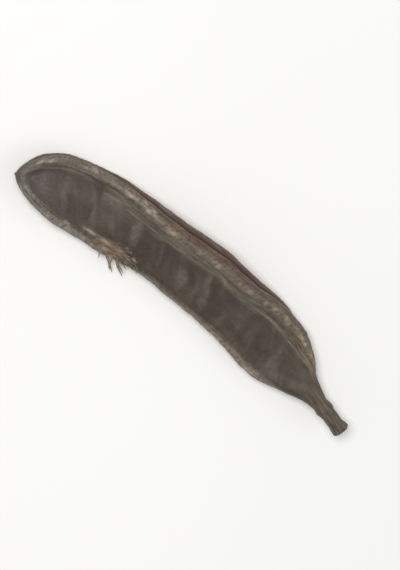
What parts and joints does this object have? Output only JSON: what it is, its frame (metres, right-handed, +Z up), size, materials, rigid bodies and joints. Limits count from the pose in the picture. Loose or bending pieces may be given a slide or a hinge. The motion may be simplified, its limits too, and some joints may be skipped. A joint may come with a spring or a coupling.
{
  "type": "carob pod",
  "caption": "Whole dried carob pod lying on its broad side: a bowed, flattened brown pod with thick seams, low seed humps, a beak and a stalk stub.",
  "frame": {"origin": "centre of the pod's bounding box, on the surface that it lies on", "axes": "+X along the pod from its beak to its stalk, +Y across the face towards the deeply grooved seam, on the outside of the bow, +Z up, out of the upper face"},
  "size_m": [0.1226, 0.0254, 0.0154],
  "materials": {
    "pod_skin": "dry matte leathery skin, grey-brown faces with paler straw-coloured seams"
  },
  "bodies": {
    "root": {"carob_pod": "pod_skin"}
  },
  "joints": []
}
